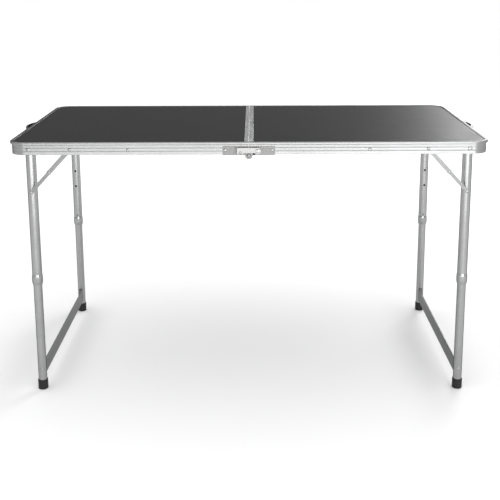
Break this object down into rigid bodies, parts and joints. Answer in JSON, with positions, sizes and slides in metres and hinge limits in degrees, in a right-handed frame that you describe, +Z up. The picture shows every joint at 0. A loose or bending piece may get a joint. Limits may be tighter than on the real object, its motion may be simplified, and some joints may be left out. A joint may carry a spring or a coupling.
{
  "type": "folding camp table",
  "caption": "Two-leaf folding table with a framed black top, a seam hinge and catch, end handles and braced telescoping leg frames that fold into the leaves.",
  "frame": {"origin": "on the floor under the middle of the top, table open and legs fully out", "axes": "+X to the right along the length of the top, +Y to the back, +Z up; the seam catch is on the front, at -Y"},
  "size_m": [1.248, 0.606, 0.668],
  "materials": {
    "board": "matt black laminate over hardboard, fine peel",
    "rail": "satin anodised extrusion",
    "trim": "satin anodised extrusion",
    "tube": "drawn tube, soft satin",
    "strip": "flat bar, brushed along its length",
    "plate": "zinc plated pressing",
    "catch": "bright zinc plated pressing",
    "rivet": "bright rivet head",
    "link": "zinc plated strip",
    "spring": "spring steel",
    "collar": "swaged ferrule, soft satin",
    "black_plastic": "black moulded plastic",
    "foot": "black moulded rubber"
  },
  "bodies": {
    "left_half": {"top_panel_left": "board", "edge_rail_left": "rail", "seam_trim_left": "trim", "hinge_plates_left": "plate", "hinge_rivets_left": "rivet", "handle_left": "black_plastic", "handle_rivets_left": "rivet", "leg_pivots_left": "rivet", "pivot_bushings_left": "black_plastic", "rail_rivets_left": "rivet", "storage_clips_left": "black_plastic", "hinge_pins": "rivet", "latch_stud": "rivet"},
    "right_half": {"top_panel_right": "board", "edge_rail_right": "rail", "seam_trim_right": "trim", "hinge_plates_right": "plate", "hinge_rivets_right": "rivet", "handle_right": "black_plastic", "handle_rivets_right": "rivet", "leg_pivots_right": "rivet", "pivot_bushings_right": "black_plastic", "rail_rivets_right": "rivet", "storage_clips_right": "black_plastic", "latch_pivot": "rivet"},
    "latch": {"latch_hook": "catch"},
    "leg_frame_left": {"upper_leg_left_front": "tube", "upper_leg_left_back": "tube", "collars_left": "collar", "brace_pins_left": "rivet"},
    "lower_frame_left": {"lower_leg_left_front": "tube", "lower_leg_left_back": "tube", "foot_left_front": "foot", "foot_left_back": "foot", "crossbar_left": "strip", "crossbar_rivets_left": "rivet"},
    "brace_top_left": {"brace_upper_left": "link", "brace_joints_outer_left": "rivet"},
    "brace_bottom_left": {"brace_lower_left": "link", "brace_joints_inner_left": "rivet"},
    "button_left_front": {"snap_clip_left_front": "spring"},
    "button_left_back": {"snap_clip_left_back": "spring"},
    "leg_frame_right": {"upper_leg_right_front": "tube", "upper_leg_right_back": "tube", "collars_right": "collar", "brace_pins_right": "rivet"},
    "lower_frame_right": {"lower_leg_right_front": "tube", "lower_leg_right_back": "tube", "foot_right_front": "foot", "foot_right_back": "foot", "crossbar_right": "strip", "crossbar_rivets_right": "rivet"},
    "brace_top_right": {"brace_upper_right": "link", "brace_joints_outer_right": "rivet"},
    "brace_bottom_right": {"brace_lower_right": "link", "brace_joints_inner_right": "rivet"},
    "button_right_front": {"snap_clip_right_front": "spring"},
    "button_right_back": {"snap_clip_right_back": "spring"}
  },
  "joints": [
    {"name": "centre_fold", "type": "hinge", "parent": "left_half", "child": "right_half", "pos_m": [0, 0, 0.634], "axis": [0, 1, 0], "range_deg": [0, 75]},
    {"name": "latch_swing", "type": "hinge", "parent": "right_half", "child": "latch", "pos_m": [0.022, -0.30115, 0.6455], "axis": [0, 1, 0], "range_deg": [0, 70]},
    {"name": "leg_fold_left", "type": "hinge", "parent": "left_half", "child": "leg_frame_left", "pos_m": [-0.548, 0, 0.6495], "axis": [0, -1, 0], "range_deg": [0, 90]},
    {"name": "height_slide_left", "type": "slide", "parent": "leg_frame_left", "child": "lower_frame_left", "axis": [0, 0, 1], "range_m": [0, 0.144], "deforming": ["snap_clip_left_front", "snap_clip_left_back"]},
    {"name": "brace_top_swing_left", "type": "hinge", "parent": "left_half", "child": "brace_top_left", "pos_m": [-0.445, 0, 0.6495], "axis": [0, -1, 0], "range_deg": [-1, 133.73]},
    {"name": "brace_bottom_swing_left", "type": "hinge", "parent": "leg_frame_left", "child": "brace_bottom_left", "pos_m": [-0.548, 0, 0.538], "axis": [0, 1, 0], "range_deg": [-1, 138.27]},
    {"name": "button_press_left_front", "type": "slide", "parent": "lower_frame_left", "child": "button_left_front", "axis": [0, -1, 0], "range_m": [0, 0.004], "stiffness_N_per_m": 1500},
    {"name": "button_press_left_back", "type": "slide", "parent": "lower_frame_left", "child": "button_left_back", "axis": [0, 1, 0], "range_m": [0, 0.004], "stiffness_N_per_m": 1500},
    {"name": "leg_fold_right", "type": "hinge", "parent": "right_half", "child": "leg_frame_right", "pos_m": [0.548, 0, 0.6495], "axis": [0, 1, 0], "range_deg": [0, 90]},
    {"name": "height_slide_right", "type": "slide", "parent": "leg_frame_right", "child": "lower_frame_right", "axis": [0, 0, 1], "range_m": [0, 0.144], "deforming": ["snap_clip_right_front", "snap_clip_right_back"]},
    {"name": "brace_top_swing_right", "type": "hinge", "parent": "right_half", "child": "brace_top_right", "pos_m": [0.445, 0, 0.6495], "axis": [0, 1, 0], "range_deg": [-1, 133.73]},
    {"name": "brace_bottom_swing_right", "type": "hinge", "parent": "leg_frame_right", "child": "brace_bottom_right", "pos_m": [0.548, 0, 0.538], "axis": [0, -1, 0], "range_deg": [-1, 138.27]},
    {"name": "button_press_right_front", "type": "slide", "parent": "lower_frame_right", "child": "button_right_front", "axis": [0, -1, 0], "range_m": [0, 0.004], "stiffness_N_per_m": 1500},
    {"name": "button_press_right_back", "type": "slide", "parent": "lower_frame_right", "child": "button_right_back", "axis": [0, 1, 0], "range_m": [0, 0.004], "stiffness_N_per_m": 1500}
  ],
  "couplings": [
    {"joint": "brace_top_swing_left", "follows": "leg_fold_left", "ratio": 1.4748},
    {"joint": "brace_bottom_swing_left", "follows": "leg_fold_left", "ratio": 1.5252},
    {"joint": "brace_top_swing_right", "follows": "leg_fold_right", "ratio": 1.4748},
    {"joint": "brace_bottom_swing_right", "follows": "leg_fold_right", "ratio": 1.5252}
  ]
}
